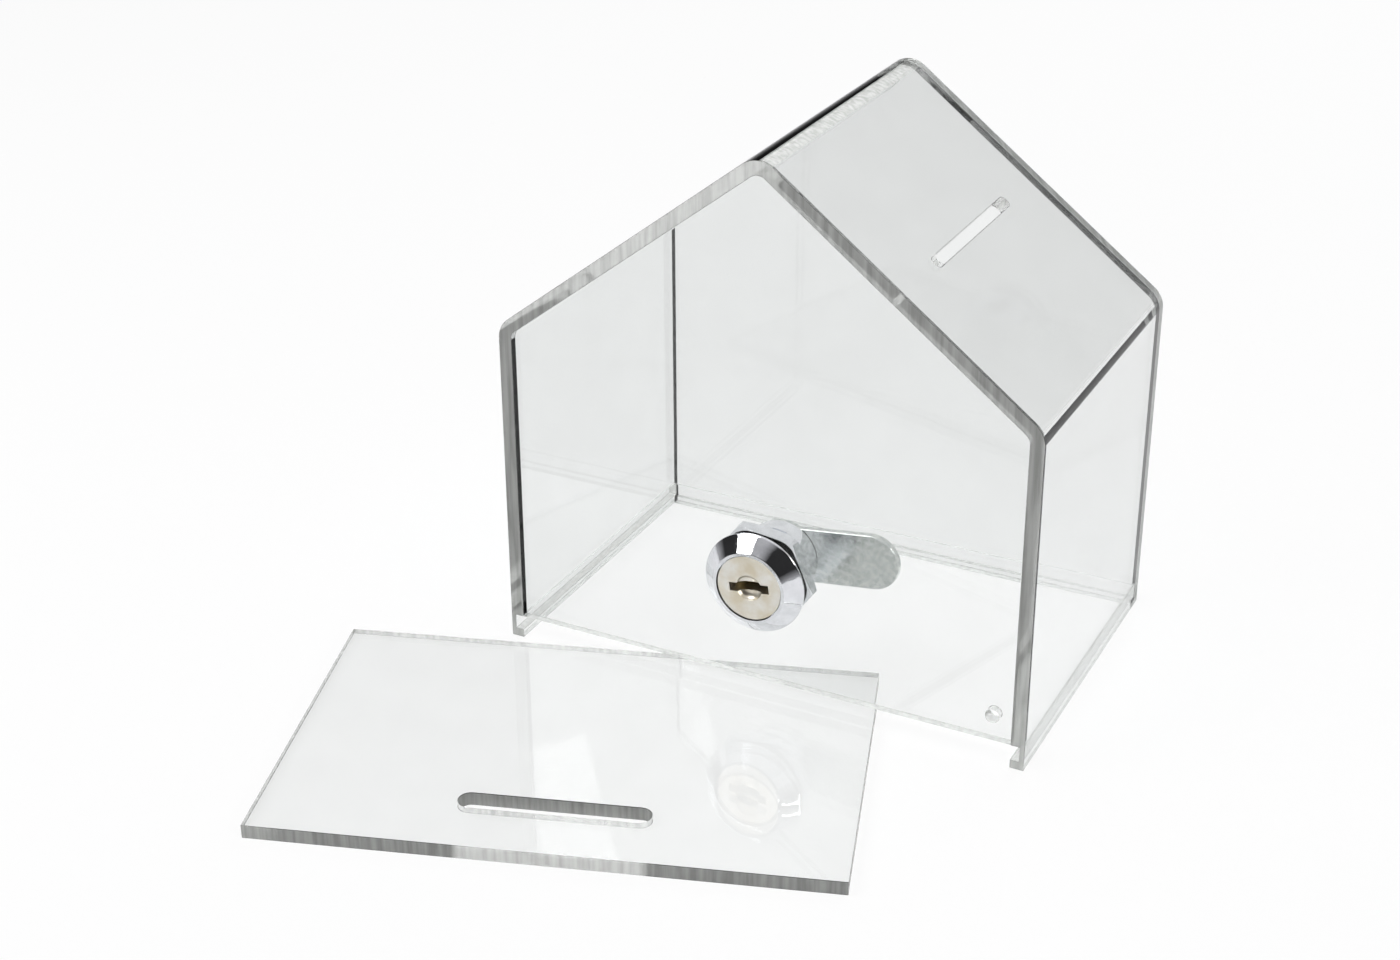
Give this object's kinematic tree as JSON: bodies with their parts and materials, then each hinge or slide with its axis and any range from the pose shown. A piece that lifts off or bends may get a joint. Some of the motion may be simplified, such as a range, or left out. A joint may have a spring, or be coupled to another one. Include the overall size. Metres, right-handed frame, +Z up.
{
  "type": "ballot box",
  "caption": "Small clear acrylic ballot box shaped like a house, with a roof slot, a cam lock in the front gable and a slide-in base plate shown taken off.",
  "frame": {"origin": "on the surface, at the middle of the house's footprint", "axes": "+X to the right along the front gable, +Y from the front gable to the back, +Z up"},
  "size_m": [0.1503, 0.1664, 0.12],
  "materials": {
    "acrylic": "clear polished acrylic sheet",
    "chrome": "bright chrome plate",
    "nickel": "satin nickel plate, slightly stained",
    "zinc": "mottled zinc plate",
    "brass": "stamped brass",
    "steel": "bright steel"
  },
  "bodies": {
    "root": {"house_shell": "acrylic", "front_panel": "acrylic", "back_panel": "acrylic", "lock_housing": "chrome", "hex_nut": "chrome"},
    "lock_rotor": {"lock_plug": "nickel", "wafer_1": "brass", "wafer_2": "brass", "wafer_3": "brass", "wafer_4": "brass", "wafer_5": "brass", "wafer_spring_1": "steel", "wafer_spring_2": "steel", "wafer_spring_3": "steel", "wafer_spring_4": "steel", "wafer_spring_5": "steel", "stop_washer": "zinc", "latch_cam": "zinc", "tooth_washer": "steel", "cam_screw": "steel"},
    "loose_plate": {"base_plate": "acrylic"}
  },
  "joints": [
    {"name": "cam_lock_turn", "type": "hinge", "parent": "root", "child": "lock_rotor", "pos_m": [0, -0.0385, 0.0285], "axis": [0, 1, 0], "range_deg": [0, 90]},
    {"name": "plate_slide", "type": "slide", "parent": "root", "child": "loose_plate", "axis": [0.3107, -0.9505, 0], "range_m": [0, 0.075]}
  ]
}
